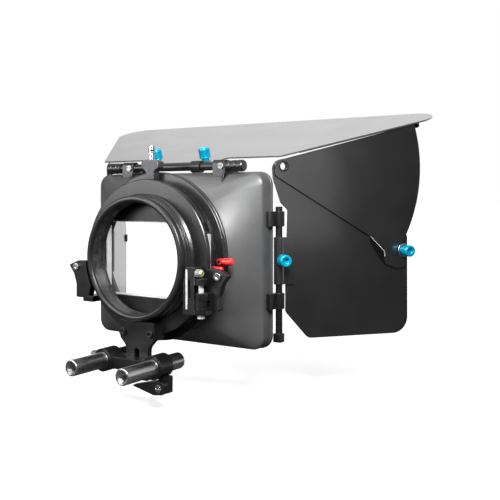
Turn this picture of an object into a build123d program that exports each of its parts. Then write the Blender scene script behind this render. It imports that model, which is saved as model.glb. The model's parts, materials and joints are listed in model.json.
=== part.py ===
from build123d import *
import os
from math import sin, cos, radians, sqrt, hypot

# Swing-away matte box on two 15 mm rods. Millimetres, +Z up, +Y towards the scene,
# +X to the operator's right. Origin: centre of the lens ring's rear face, on the optical axis.
# Suffixes: R radius, X/Y/Z place on an axis, Y0/Y1 rear and front station.

# ---- shared dimensions --------------------------------------------------
ROD_R = 7.5                     # support rods
ROD_X, ROD_Z = 30.0, -95.0      # half the rod spacing, rod height
ROD_Y0, ROD_Y1 = -46.0, 31.0
LENS_R_IN, LENS_R_OUT = 51.75, 57.5
LENS_Y1 = 18.0
PLATE_R, PLATE_Y1 = 73.0, 22.0  # rear flange plate
STAGE_R = 72.0                  # rotating filter stage
STAGE_Y0, STAGE_Y1 = 22.4, 33.0
RING_R, RING_R_IN = 80.0, 66.0  # collar ring behind the hood
RING_Y0, RING_Y1 = 33.4, 40.0
SPIGOT_R, SPIGOT_Y0 = 69.0, 31.0    # collar ring's rear step, inside the stage
HOOD_W = 101.6                  # half width of the hood rim
HOOD_ZT, HOOD_ZB = 79.3, -84.6
HOOD_Y1, HOOD_Y2 = 64.4, 81.0   # rear and front of the straight rim
HOOD_T, HOOD_CORNER_R = 3.0, 12.0
FLAG_T = 1.5
SCREW_R, SCREW_BORE_R = 2.0, 2.05
PIN_R, PIN_BORE_R = 2.5, 2.56   # pins, thumbscrews and knob shanks
FLAG_BORE_R = 2.58              # hole for a knob shank in a flag
KNOB_R = 5.6


# ---- helpers ------------------------------------------------------------
def box(x0, x1, y0, y1, z0, z1):
    return Pos((x0 + x1) / 2, (y0 + y1) / 2, (z0 + z1) / 2) * Box(x1 - x0, y1 - y0, z1 - z0)


def cylinder(start, direction, radius, length):
    """Cylinder from start along direction."""
    base = (Align.CENTER, Align.CENTER, Align.MIN)
    return Plane(origin=start, z_dir=direction) * Cylinder(radius, length, align=base)


def cyl_x(radius, x0, x1, y, z):
    return cylinder((x0, y, z), (1, 0, 0), radius, x1 - x0)


def cyl_y(radius, y0, y1, x=0.0, z=0.0):
    return cylinder((x, y0, z), (0, 1, 0), radius, y1 - y0)


def cyl_z(radius, z0, z1, x, y):
    return cylinder((x, y, z0), (0, 0, 1), radius, z1 - z0)


def ring(outer, inner, y0, y1):
    return cyl_y(outer, y0, y1) - cyl_y(inner, y0 - 1, y1 + 1)


def join(shapes):
    """Fuse shapes one after the other."""
    result = shapes[0]
    for shape in shapes[1:]:
        result = result + shape
    return result


def rounded(corners):
    """Closed face from (x, y, fillet radius) corners."""
    count = len(corners)
    arcs = []    # (start, middle, end); middle is None at a sharp corner
    for i, (x, y, radius) in enumerate(corners):
        if radius <= 0:
            arcs.append(((x, y), None, (x, y)))
            continue
        before, after = corners[i - 1], corners[(i + 1) % count]
        corner = Vector(x, y)
        back = Vector(before[0] - x, before[1] - y).normalized()
        ahead = Vector(after[0] - x, after[1] - y).normalized()
        cosine = max(-1.0, min(1.0, back.dot(ahead)))
        cos_half, sin_half = sqrt((1 + cosine) / 2), sqrt((1 - cosine) / 2)
        tangent = radius * cos_half / sin_half
        start, end = corner + back * tangent, corner + ahead * tangent
        middle = corner + (back + ahead).normalized() * (radius / sin_half - radius)
        arcs.append(((start.X, start.Y), (middle.X, middle.Y), (end.X, end.Y)))
    edges = []
    for i, (start, middle, end) in enumerate(arcs):
        if middle is not None:
            edges.append(ThreePointArc(start, middle, end))
        following = arcs[(i + 1) % count][0]
        if hypot(following[0] - end[0], following[1] - end[1]) > 1e-6:
            edges.append(Line(end, following))
    return make_face(edges)


def prism(face, plane, n0, n1):
    """Extrude a local face from n0 to n1 along the plane's normal."""
    return extrude(plane * Pos(0, 0, n0) * face, amount=n1 - n0, dir=plane.z_dir)


def slab(face, y0, y1):
    """Face drawn in X, Z, extruded between two Y stations."""
    return prism(face, FACING_BACK, -y1, -y0)


def turned(profile, plane):
    """Solid of revolution about the plane's normal from (radius, height) points."""
    section = make_face(Polyline(*[(r, 0, h) for r, h in profile], close=True))
    return plane * revolve(section, Axis.Z, 360)


def along_x(y, z, sign=1):
    """Plane at X = 0 whose normal points along +X or -X."""
    return Plane(origin=(0, y, z), x_dir=(0, 1, 0), z_dir=(sign, 0, 0))


def moved(plane, u, v):
    """The plane, its origin moved by (u, v) within itself."""
    origin = plane.origin + plane.x_dir * u + plane.y_dir * v
    return Plane(origin=origin, x_dir=plane.x_dir, z_dir=plane.z_dir)


def fluted(shape, count, pitch_r, groove):
    """Cut evenly spaced grooves; groove(u, v) gives the cutter at an offset from the axis."""
    for i in range(count):
        angle = radians(360 / count * i)
        shape = shape - groove(pitch_r * cos(angle), pitch_r * sin(angle))
    return shape


def knob(plane, base, neck, body, shank, socket=True):
    """Fluted thumb knob on a plane: shank below base, tapered neck, body."""
    shoulder = base + neck
    top = shoulder + body
    shape = turned([(0, base - shank), (PIN_R, base - shank), (PIN_R, base), (3.3, base),
                    (3.3, base + neck * 0.45), (KNOB_R - 0.3, shoulder), (KNOB_R, shoulder + 0.6),
                    (KNOB_R, top - 1.0), (KNOB_R - 1.0, top), (0, top)], plane)
    flutes = []
    for i in range(16):
        angle = radians(360 / 16 * i)
        u, v = (KNOB_R + 0.35) * cos(angle), (KNOB_R + 0.35) * sin(angle)
        flutes.append(plane * Pos(u, v, shoulder + body / 2 + 0.4) * Cylinder(0.8, body - 2.4))
    shape = shape - join(flutes)
    if socket:
        hexagon = extrude(RegularPolygon(2.3, 6), amount=4)
        shape = shape - plane * Pos(0, 0, top - 1.5) * hexagon
    return shape


FACING_BACK = Plane(origin=(0, 0, 0), x_dir=(1, 0, 0), z_dir=(0, -1, 0))  # local x, y = X, Z
OPTICAL = Plane(origin=(0, 0, 0), x_dir=(1, 0, 0), z_dir=(0, 1, 0))       # normal +Y
SIDE_VIEW = Plane(origin=(0, 0, 0), x_dir=(0, 1, 0), z_dir=(1, 0, 0))     # local x, y = Y, Z

# ---- support rods, clamps and post --------------------------------------
COLLAR_R, COLLAR_Y0, COLLAR_Y1 = 10.75, -7, 10
THUMB_Y = 1.5                        # clamp thumbscrew
THUMB_X0, THUMB_X1 = -49.0, -42.3    # its head
LEVER_X, LEVER_Z = 36.4, -112.4      # clamp lever screw
HEIGHT_Z = -98                       # height screw
POST_Y0, POST_Y1 = 7, 13
POST_SCREW_X, POST_SCREW_Z = 16.4, -69


def rod(x):
    body = cyl_y(ROD_R, ROD_Y0, ROD_Y1, x, ROD_Z)
    body = chamfer(body.edges().filter_by(GeomType.CIRCLE), 0.8)
    # groove just behind the clamp
    return body - (cyl_y(ROD_R + 1, -8.6, -7.6, x, ROD_Z) - cyl_y(7.3, -8.6, -7.6, x, ROD_Z))


def rod_clamp_block():
    block = join([cyl_y(COLLAR_R, COLLAR_Y0, COLLAR_Y1, x, ROD_Z) for x in (ROD_X, -ROD_X)])
    block = block + box(-24, 24, -6, 6.6, -101.5, -90.5)
    block = block + cyl_x(5.4, -42.0, -34, THUMB_Y, ROD_Z)          # thumbscrew boss
    block = block + box(31.2, 41.6, 0.4, 8.0, -117.5, -103.0)       # lever lug
    for x in (ROD_X, -ROD_X):
        block = block - cyl_y(ROD_R + 0.02, COLLAR_Y0 - 1, COLLAR_Y1 + 1, x, ROD_Z)
    block = block - cyl_x(PIN_BORE_R, -43, -37, THUMB_Y, ROD_Z)
    # split in the right collar
    block = block - box(LEVER_X - 0.8, LEVER_X + 0.8, COLLAR_Y0 - 1, COLLAR_Y1 + 1, -104.5, -99)
    block = block - cyl_y(SCREW_BORE_R, -1, 9, LEVER_X, LEVER_Z)
    return block - cyl_y(2.5, 1.0, 7, 0, HEIGHT_Z)


def clamp_thumbscrew():
    screw = cyl_x(PIN_R, THUMB_X1, -37.8, THUMB_Y, ROD_Z)
    screw = screw + cyl_x(6.0, THUMB_X0, THUMB_X1, THUMB_Y, ROD_Z)
    return fluted(screw, 18, 6.2,
                  lambda u, v: cyl_x(0.55, THUMB_X0 - 1, THUMB_X1 - 0.9, THUMB_Y + u, ROD_Z + v))


def clamp_lever():
    outline = rounded([(42.2, -106.6, 3.5), (30.5, -106.6, 3), (6.5, -112.8, 0.8),
                       (7.5, -114.2, 0.8), (31, -119.2, 3), (42.2, -117.6, 3.0)])
    lever = slab(outline, -6.0, 0.3) - cyl_y(SCREW_BORE_R, -7, 1, LEVER_X, LEVER_Z)
    return lever - cyl_y(3.6, -7, -4.4, LEVER_X, LEVER_Z)


def clamp_lever_screw():
    screw = cyl_y(SCREW_R, -4.4, 7.5, LEVER_X, LEVER_Z) + cyl_y(3.5, -6.6, -4.4, LEVER_X, LEVER_Z)
    return screw - box(33, 40, -7, -6.0, LEVER_Z - 0.5, LEVER_Z + 0.5)


def height_clamp_plate():
    outline = rounded([(-6.5, -107, 2), (6.5, -107, 2), (6.5, -83.2, 2), (-6.5, -83.2, 2)])
    return slab(outline, 13.05, 14.6) - cyl_y(2.6, 12, 16, 0, HEIGHT_Z)


def height_screw():
    screw = cyl_y(2.45, 1.4, 14.7, 0, HEIGHT_Z) + cyl_y(6.5, 14.65, 20.4, 0, HEIGHT_Z)
    return fluted(screw, 16, 6.7, lambda u, v: cyl_y(0.7, 15.6, 21.4, u, HEIGHT_Z + v))


def post_plate():
    outline = rounded([(-13.2, -112, 2), (13.2, -112, 2), (13.2, -82, 8), (20.7, -74.5, 4),
                       (20.7, -58.2, 2), (-20.7, -58.2, 2), (-20.7, -74.5, 4), (-13.2, -82, 8)])
    slot = rounded([(-2.8, -109, 2.7), (2.8, -109, 2.7), (2.8, -83, 2.7), (-2.8, -83, 2.7)])
    post = slab(outline, POST_Y0, POST_Y1) - slab(slot, POST_Y0 - 1, POST_Y1 + 1)
    for x in (POST_SCREW_X, -POST_SCREW_X):
        post = post - cyl_y(SCREW_BORE_R, POST_Y0 - 1, POST_Y1 + 1, x, POST_SCREW_Z)
    return post


def post_screw(x):
    screw = cyl_y(SCREW_R, POST_Y0, 17, x, POST_SCREW_Z)
    screw = screw + cyl_y(3.5, 4.6, POST_Y0, x, POST_SCREW_Z)
    socket = extrude(RegularPolygon(1.8, 6), amount=3)
    return screw - FACING_BACK * Pos(x, POST_SCREW_Z, -5.8) * socket


# ---- lens ring and rear plate -------------------------------------------
def lens_ring():
    return turned([(LENS_R_IN, 0), (56.4, 0), (57.2, 0.5), (LENS_R_OUT, 1.4),
                   (LENS_R_OUT, 5.6), (56.5, 6.2), (56.5, 7.4), (LENS_R_OUT, 8.0),
                   (LENS_R_OUT, 9.6), (56.5, 10.2), (56.5, 11.4), (LENS_R_OUT, 12.0),
                   (LENS_R_OUT, 13.2), (59.6, 15.0), (59.6, LENS_Y1), (LENS_R_IN, LENS_Y1)],
                  OPTICAL)


def rear_plate():
    plate = turned([(54, LENS_Y1), (PLATE_R - 0.8, LENS_Y1), (PLATE_R, LENS_Y1 + 0.8),
                    (PLATE_R, PLATE_Y1), (54, PLATE_Y1)], OPTICAL)
    tab = slab(rounded([(-20.7, -76, 4), (20.7, -76, 4), (20.7, -60, 0), (-20.7, -60, 0)]),
               POST_Y1, PLATE_Y1)
    plate = plate + (tab - cyl_y(59.8, 12, LENS_Y1))
    for x in (POST_SCREW_X, -POST_SCREW_X):
        plate = plate - cyl_y(SCREW_BORE_R, 12, 17.6, x, POST_SCREW_Z)
    return plate


# ---- swing hinge, fixed half --------------------------------------------
SWING_X, SWING_Y = 73.0, 8.0                      # vertical hinge axis
KNUCKLE_R = 5.6
BLOCK_KNUCKLES = ((-20, -14.6), (-40, -34))       # z0, z1
LEAF_KNUCKLES = ((-33.8, -27.0), (-46.0, -40.2))  # z0, z1
LOCK_Y, LOCK_Z = 6.6, -10                         # swing lock screw


def hinge_block():
    block = box(57, 69.5, 3, 14, -46, -5) - cyl_z(6.1, -50, -14, SWING_X, SWING_Y)
    block = block + box(60.5, 66, 14, LENS_Y1, -30, -14)
    for z0, z1 in BLOCK_KNUCKLES:
        block = block + box(66, SWING_X, 3.5, 12.5, z0, z1)
    block = block - cyl_y(59.9, 2, 18)            # clears the lens ring
    for z0, z1 in BLOCK_KNUCKLES:
        block = block + cyl_z(KNUCKLE_R, z0, z1, SWING_X, SWING_Y)
    block = block - cyl_z(2.55, -50, -10, SWING_X, SWING_Y)
    block = block - cyl_x(SCREW_BORE_R, 58, 71, LOCK_Y, LOCK_Z)
    return block - box(59.5, 65.5, 2, 5.0, -32, -16)


def hinge_pin():
    pin = cyl_z(PIN_R, -47.6, -14.9, SWING_X, SWING_Y)
    return pin + cyl_z(3.4, -49.4, -47.6, SWING_X, SWING_Y)


def swing_lock_screw():
    screw = cyl_x(SCREW_R, 60, 69.6, LOCK_Y, LOCK_Z) + cyl_x(3.7, 69.6, 74.2, LOCK_Y, LOCK_Z)
    return fluted(screw, 12, 3.9, lambda u, v: cyl_x(0.5, 70.2, 75, LOCK_Y + u, LOCK_Z + v))


def swing_lock_tip():
    return turned([(0, 74.2), (3.0, 74.2), (3.0, 75.0), (2.2, 75.8), (0, 75.8)],
                  along_x(LOCK_Y, LOCK_Z))


# ---- swinging ears and hinge leaf ---------------------------------------
EAR_Y0, EAR_Y1 = 15, 22.2
EAR_R_IN = 73.7
EAR_SCREW_X, EAR_SCREW_Z = 85.8, -13.0


def ear(*additions):
    """Ear on the +X side with the given pieces fused on, drilled for its screw."""
    outline = rounded([(72.0, -6.6, 1), (84, -6.6, 6), (96.3, -11.4, 1.2), (89.6, -20, 8),
                       (86.2, -30, 8), (86.4, -43, 1.5), (70, -43, 0), (66, -30, 0)])
    body = slab(outline, EAR_Y0, EAR_Y1) - cyl_y(EAR_R_IN, 14, 23)
    for addition in additions:
        body = body + addition
    return body - cyl_y(SCREW_BORE_R, 14, 20.5, EAR_SCREW_X, EAR_SCREW_Z)


def right_ear_hinge_leaf():
    bridge = box(74.6, 79.0, EAR_Y1, RING_Y0, -26, -11.5) - cyl_y(72.6, 22, 34)
    leaf = ear(bridge, box(78.9, 82.5, 19, EAR_Y1, -26, -11.5))
    for z0, z1 in LEAF_KNUCKLES:
        leaf = leaf + (box(SWING_X, 79.2, SWING_Y, 16.0, z0, z1)
                       + cyl_z(KNUCKLE_R, z0, z1, SWING_X, SWING_Y))
    leaf = leaf + box(75.0, 79.2, 13.8, 16.0, -46, -27)
    return leaf - cyl_z(PIN_BORE_R, -50, -12, SWING_X, SWING_Y)


def left_ear():
    # the bridge to the collar ring runs below the tray's path
    bridge = box(63.5, 77.0, EAR_Y0, RING_Y0, -46.5, -40.8) - cyl_y(EAR_R_IN, 14, 34)
    return mirror(ear(bridge), about=Plane.YZ)


def ear_screw(x):
    head = cyl_y(3.5, 13.4, EAR_Y0, x, EAR_SCREW_Z) - cyl_y(1.7, 13, 14.2, x, EAR_SCREW_Z)
    return cyl_y(SCREW_R, EAR_Y0, 20, x, EAR_SCREW_Z) + head


# ---- collar ring, latch and brake levers --------------------------------
LATCH_Y = 28.4
FRONT_PIVOT = (77.0, -1.2)    # x, z
REAR_PIVOT = (75.0, -7.6)


def collar_ring():
    return turned([(RING_R_IN, SPIGOT_Y0), (SPIGOT_R, SPIGOT_Y0), (SPIGOT_R, RING_Y0),
                   (79.2, RING_Y0), (RING_R, RING_Y0 + 0.8), (RING_R, 36.2), (79.0, 36.8),
                   (79.0, 37.6), (RING_R, 38.2), (RING_R, RING_Y1), (RING_R_IN, RING_Y1)], OPTICAL)


def top_latch_bracket():
    outline = rounded([(-5.2, 72.6, 0), (5.2, 72.6, 0), (5.2, 80.5, 2.5), (10.6, 84.0, 1.5),
                       (10.2, 89.6, 1.8), (7.0, 91.4, 1.5), (-7.0, 91.4, 1.5),
                       (-10.2, 89.6, 1.8), (-10.6, 84.0, 1.5), (-5.2, 80.5, 2.5)])
    return slab(outline, 25.0, RING_Y0) - cyl_z(PIN_BORE_R, 76, 93, 0, LATCH_Y)


def latch_plunger():
    cap = turned([(0, 99.4), (2.5, 99.4), (3.2, 100.2), (3.2, 104.2), (2.6, 105.2), (0, 105.2)],
                 Plane(origin=(0, LATCH_Y, 0), x_dir=(1, 0, 0), z_dir=(0, 0, 1)))
    return cyl_z(PIN_R, 77, 99.5, 0, LATCH_Y) + cap


def brake_lever(pivot, y0, y1, eye_r, handle_x0, handle_x1, handle_r):
    """Eye on its pivot pin, arm and round handle pointing to +X."""
    x, z = pivot
    y = (y0 + y1) / 2
    eye = cyl_y(eye_r, y0, y1, x, z) + cyl_x(1.5, x, handle_x0 + 1, y, z)
    handle = turned([(0, handle_x0), (handle_r - 0.8, handle_x0), (handle_r, handle_x0 + 0.9),
                     (handle_r, handle_x1 - 1.2), (handle_r - 1.2, handle_x1), (0, handle_x1)],
                    along_x(y, z))
    return (eye + handle) - cyl_y(1.55, y0 - 1, y1 + 1, x, z)


# ---- rotating filter stage and tray -------------------------------------
STAGE_R_IN, STAGE_STEP_Y = 64.2, 30.9    # narrow rear bore and where it ends
TRAY_X, TRAY_Z = 57, 39                  # half sizes of the tray
TRAY_Y0, TRAY_Y1 = 23.6, 29.8
SLOT_Y0, SLOT_Y1 = TRAY_Y0 - 0.1, TRAY_Y1 + 0.1
WINDOW_X, WINDOW_Z0, WINDOW_Z1 = 52.5, -36.7, 32.5


def filter_stage_ring():
    stage = ring(STAGE_R, STAGE_R_IN, STAGE_Y0, STAGE_STEP_Y)
    stage = stage + ring(STAGE_R, SPIGOT_R + 0.06, STAGE_STEP_Y, STAGE_Y1)
    # bars above and below the tray
    bars = box(-80, 80, 22, 31, 39.4, 52) + box(-80, 80, 22, 31, -52, -39.4)
    stage = stage + (cyl_y(STAGE_R - 0.5, STAGE_Y0, STAGE_STEP_Y) & bars)
    stage = stage - cyl_y(STAGE_R_IN, 22, 34)
    # slot for the tray
    stage = stage - box(-80, TRAY_X + 0.4, SLOT_Y0, SLOT_Y1, -TRAY_Z - 0.2, TRAY_Z + 0.2)
    stage = stage - box(50, 80, SLOT_Y0, SLOT_Y1, -23.7, 23.7)
    # mask plate behind the tray
    stage = stage + (cyl_y(64.5, STAGE_Y0, 23.4)
                     - box(-WINDOW_X - 1, WINDOW_X + 1, 20, 25, WINDOW_Z0 - 1, WINDOW_Z1 + 1))
    stage = stage - (ring(90, 71.2, 24.2, 25.0) + ring(90, 71.2, 31.6, 32.2))
    return stage - box(59.0, 80, 24.4, 29.6, 25.0, 34.0)    # pocket for the spring clip


def filter_tray():
    tray = box(-TRAY_X, TRAY_X, TRAY_Y0, TRAY_Y1, -TRAY_Z, TRAY_Z)
    tray = tray + box(56, 65.8, TRAY_Y0, TRAY_Y1, -20, 20)
    tray = tray + box(65.8, 67.9, TRAY_Y0, TRAY_Y1, -23.4, 23.4)
    tray = tray + box(-66, -56, 24.4, 29.0, -13, 13)
    tray = tray - box(-WINDOW_X, WINDOW_X, 22, 31, WINDOW_Z0, WINDOW_Z1)
    return tray - box(-64, -58, 23, 31, -9, 9)


def tray_spring_clip():
    return box(59.2, 60.2, 24.8, 29.2, 25.4, 33.6) + box(60.2, 62.6, 24.8, 29.2, 31.4, 33.6)


# ---- hood ---------------------------------------------------------------
def hood_section(inset):
    """Half width, top, bottom and corner radius of the rim, moved inwards by inset."""
    return HOOD_W - inset, HOOD_ZT - inset, HOOD_ZB + inset, HOOD_CORNER_R - inset


def hood_loop(y, inset):
    """Rounded rectangle wire at a Y station, eight edges, starting with the top one."""
    w, top, bottom, radius = hood_section(inset)
    sag = radius * (1 - sqrt(0.5))
    x, high, low = w - radius, top - radius, bottom + radius
    edges = [Line((-x, y, top), (x, y, top)),
             ThreePointArc((x, y, top), (w - sag, y, top - sag), (w, y, high)),
             Line((w, y, high), (w, y, low)),
             ThreePointArc((w, y, low), (w - sag, y, bottom + sag), (x, y, bottom)),
             Line((x, y, bottom), (-x, y, bottom)),
             ThreePointArc((-x, y, bottom), (-(w - sag), y, bottom + sag), (-w, y, low)),
             Line((-w, y, low), (-w, y, high)),
             ThreePointArc((-w, y, high), (-(w - sag), y, top - sag), (-x, y, top))]
    return Wire([piece.edge() for piece in edges])


def circle_loop(y, radius):
    """Circle wire cut in the same eight pieces, short pieces at the 45 degree lines."""
    cuts = [130, 50, 40, -40, -50, -130, -140, -220, -230]
    edges = []
    for a0, a1 in zip(cuts[:-1], cuts[1:]):
        angles = [radians(a) for a in (a0, (a0 + a1) / 2, a1)]
        edges.append(ThreePointArc(*[(radius * cos(a), y, radius * sin(a)) for a in angles]))
    return Wire([piece.edge() for piece in edges])


def hood_funnel(y0, radius, y1, inset):
    return Part() + Solid.make_loft([circle_loop(y0, radius), hood_loop(y1, inset)], ruled=True)


def hood_rim(y0, y1, inset):
    w, top, bottom, radius = hood_section(inset)
    return slab(rounded([(-w, bottom, radius), (w, bottom, radius),
                         (w, top, radius), (-w, top, radius)]), y0, y1)


HOOD_FULL = hood_funnel(RING_Y1, 79.0, HOOD_Y1, 0) + hood_rim(HOOD_Y1, HOOD_Y2, 0)  # not hollowed


def hood():
    shell = HOOD_FULL - hood_funnel(RING_Y1 + HOOD_T, 75.5, HOOD_Y1 + 0.5, HOOD_T)
    shell = shell - hood_rim(HOOD_Y1 + 0.5, HOOD_Y2 + 1, HOOD_T)
    return shell - cyl_y(RING_R_IN, RING_Y1 - 1, RING_Y1 + HOOD_T + 1)


# ---- top hinge and top flag ---------------------------------------------
TOPROD_Y, TOPROD_Z, TOPROD_R = 60.0, 85.3, 3.9
BRACKET_SHIFT = -113           # from the right bracket to the left one
BRACKET_SCREW_X = 61.0
TILT = radians(17.2)           # top flag's upward tilt
TOP_Y0, TOP_Z0 = 80.5, 94.6    # flag's bend line, origin of its plane
TOP_W0, TOP_W1 = 111.0, 231.0  # half widths at the bend line and the far edge
TOP_LEN, TOP_CORNER_R = 166.5, 25.0
ARM_X = 30
ARM_V0 = (61.5 - TOP_Y0) / cos(TILT)    # rear end of the arms, along the flag
KNOB_V = (73.6 - TOP_Y0) / cos(TILT)    # top knobs, along the flag
TOP_PLANE = Plane(origin=(0, TOP_Y0, TOP_Z0), x_dir=(1, 0, 0),
                  z_dir=(0, -sin(TILT), cos(TILT)))    # local y runs up the flag


def top_hinge_bracket(shift):
    body = prism(rounded([(55.6, 70, 0), (66, 76, 0), (67, 84, 3), (63.5, 91.3, 3.5),
                          (57.5, 91.3, 3), (55.6, 88.5, 1.2)]), SIDE_VIEW, 51, 65)
    strap = prism(rounded([(54.5, 62, 0), (66, 74, 0), (78, 76, 0), (78, 81.6, 1),
                           (63.0, 81.6, 4), (52.6, 69.5, 0)]), SIDE_VIEW, 47.5, 65.6)
    fin = prism(rounded([(49.5, 58, 0), (58, 68, 0), (58, 84, 0), (55.6, 84, 0),
                         (49.5, 65.5, 0)]), SIDE_VIEW, 63.6, 65.6)
    bracket = (Pos(shift, 0, 0) * (body + strap + fin)) - HOOD_FULL
    # keep only the piece outside the hood
    bracket = max(bracket.solids(), key=lambda solid: solid.volume)
    bracket = Part() + bracket - cyl_x(TOPROD_R + 0.04, -90, 90, TOPROD_Y, TOPROD_Z)
    return bracket - cyl_y(1.5, 54, 57.5, BRACKET_SCREW_X + shift, TOPROD_Z)


def bracket_screw(x):
    screw = cyl_y(1.5, 55.6, 56.0, x, TOPROD_Z) + cyl_y(3.0, 53.6, 55.6, x, TOPROD_Z)
    return screw - box(x - 4, x + 4, 53, 54.2, TOPROD_Z - 0.4, TOPROD_Z + 0.4)


def rod_end_cap(sign):
    return turned([(TOPROD_R, 66), (5.2, 66), (5.2, 69), (4.5, 69.6), (4.5, 71), (5.4, 71.6),
                   (5.4, 75.6), (4.6, 76.2), (4.6, 77.6), (5.5, 78.2), (5.5, 82.6), (4.6, 84),
                   (0, 84), (0, 72), (TOPROD_R, 72)], along_x(TOPROD_Y, TOPROD_Z, sign))


def top_flag():
    outline = rounded([(-47, -15.2, 4), (47, -15.2, 4), (50, 0, 3), (TOP_W0, 0, 2),
                       (TOP_W1, TOP_LEN, TOP_CORNER_R), (-TOP_W1, TOP_LEN, TOP_CORNER_R),
                       (-TOP_W0, 0, 2), (-50, 0, 3)])
    flag = prism(outline, TOP_PLANE, -FLAG_T, 0)
    for x in (-ARM_X, ARM_X):
        flag = flag - TOP_PLANE * Pos(x, KNOB_V, 0) * Cylinder(FLAG_BORE_R, 10)
    return flag


def top_flag_arm(x):
    end = 1.0
    arm = cyl_x(5.8, x - 5.5, x + 5.5, TOPROD_Y, TOPROD_Z)
    bar = Box(11, end - ARM_V0, 3.5)
    arm = arm + (TOP_PLANE * Pos(x, (ARM_V0 + end) / 2, -FLAG_T - 1.75) * bar)
    arm = arm + (TOP_PLANE * Pos(x, ARM_V0 + 1.0, -FLAG_T - 3.0) * Box(11, 5.0, 5.0))
    arm = arm - cyl_x(TOPROD_R, x - 8, x + 8, TOPROD_Y, TOPROD_Z)
    return arm - TOP_PLANE * Pos(x, KNOB_V, 0) * Cylinder(FLAG_BORE_R, 30)


def top_knob(x):
    return knob(moved(TOP_PLANE, x, KNOB_V), 0.05, neck=2.0, body=10.0, shank=4.6, socket=False)


# ---- side flags, built on the right -------------------------------------
# Plane of a side flag: local x along the flag from its rod, local y = Z, normal outwards.
SIDE_X, SIDE_Y = 106.6, 84.3      # vertical rod
SIDE_ROD_R = 3.25
OPEN_RIGHT, OPEN_LEFT = 38.0, 35.4  # degrees opened from straight ahead
PIVOT = (3.5, 85.0)               # wing pivot in the flag's plane
STUD = (130.9, 3.7)               # wing stud in the flag's plane
SIDE_KNOB = (0, -2.0)
EYELET_BORE_R = 4.45
WING_N0, WING_N1 = 1.2, 2.7
WING_TOP, WING_SLOPE, WING_REACH = 92.2, 0.254, 150   # upper edge: height, slope, drawn length
WING_R = 146.2


def side_plane(opening):
    angle = radians(opening)
    return Plane(origin=(SIDE_X, SIDE_Y, 0), x_dir=(sin(angle), cos(angle), 0),
                 z_dir=(cos(angle), -sin(angle), 0))


def side_flag(plane):
    outline = rounded([(-7.1, 91.6, 9.0), (-5.9, 73.8, 6), (2.0, 50.4, 4), (8.8, 44.2, 4),
                       (8.0, 19.2, 1), (6.7, -25.6, 1), (6.7, -51.1, 5), (29.6, -77.0, 8),
                       (136.9, -78.0, 16), (136.7, 18.7, 5), (122.4, 27.4, 3), (16.3, 91.4, 5)])
    flag = prism(outline, plane, -FLAG_T, 0) - plane * Pos(*PIVOT, 0) * Cylinder(EYELET_BORE_R, 10)
    return flag - plane * Pos(*STUD, 0) * Cylinder(FLAG_BORE_R, 10)


def flag_wing(plane):
    """Sector about the pivot, with a tongue below the stud and a lip on its lower edge."""
    sector = rounded([(-4.7, 90.6, 6.8), (-4.7, 76.3, 5.5), (93.4, 18.6, 2), (109.2, 3.2, 2),
                      (111.6, -9.6, 1.5), (112.5, -9.0, 0), (WING_REACH, -9.0, 0),
                      (WING_REACH, WING_TOP + WING_SLOPE * WING_REACH, 0),
                      (4.0, WING_TOP - 0.2, 1)])
    sector = sector & (Pos(*PIVOT) * Circle(WING_R))
    tongue = rounded([(110.4, -5.0, 0), (111.6, -9.6, 1.5), (123.8, -13.6, 3), (134.4, -12.0, 3),
                      (134.2, -1.0, 1.2), (124.0, 0.2, 0), (116.0, 4.0, 0)])
    lip = rounded([(92.6, 18.6, 0), (96.2, 10.4, 3), (101.8, 1.9, 3), (106.2, -4.0, 3),
                   (111.8, -9.8, 0.5), (113.0, -4.0, 0), (110.4, 4.0, 0), (96.0, 19.0, 0)])
    wing = prism(sector, plane, WING_N0, WING_N1) + prism(tongue, plane, WING_N0, WING_N1)
    wing = wing + prism(lip, plane, 0.2, 1.3)
    return wing - plane * Pos(*PIVOT, 0) * Cylinder(EYELET_BORE_R, 10)


def wing_eyelet(plane):
    return turned([(3.4, -2.3), (5.6, -2.3), (5.6, -1.55), (4.4, -1.55), (4.4, 0.05), (6.4, 0.05),
                   (6.4, 1.15), (4.4, 1.15), (4.4, 2.75), (5.2, 2.75), (5.2, 3.3), (3.4, 3.3)],
                  moved(plane, *PIVOT))


def wing_washer(plane):
    return turned([(PIN_BORE_R, 2.72), (6.5, 2.72), (6.5, 3.5), (6.1, 3.8), (PIN_BORE_R, 3.8)],
                  moved(plane, *STUD))


def wing_knob(plane):
    return knob(moved(plane, *STUD), 3.85, neck=3.0, body=9.0, shank=7.2)


def wing_nut(plane):
    return turned([(PIN_R, -3.3), (4.6, -3.3), (4.6, -1.52), (PIN_R, -1.52)], moved(plane, *STUD))


def hinge_knob(plane):
    return knob(moved(plane, *SIDE_KNOB), 5.3, neck=3.8, body=9.6, shank=1.9)


def hinge_centre_block(plane):
    block = cyl_z(5.0, -25, 19, SIDE_X, SIDE_Y)
    block = block + plane * Pos(7.5, -3.0, 1.2) * Box(15.0, 43.9, 2.4)
    block = block - cyl_z(SIDE_ROD_R + 0.05, -30, 25, SIDE_X, SIDE_Y)
    block = block - plane * Pos(*SIDE_KNOB, 6.5) * Cylinder(PIN_BORE_R, 7.0)
    return block - plane * Pos(6.0, -2.0, 8.25) * Cylinder(KNOB_R + 0.5, 8.5)


def side_rod():
    foot = box(SIDE_X - 4.4, SIDE_X + 3.6, SIDE_Y - 3.4, SIDE_Y + 3.8, -78.8, -70.8)
    return cyl_z(SIDE_ROD_R, -70.8, 47.4, SIDE_X, SIDE_Y) + foot


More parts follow.
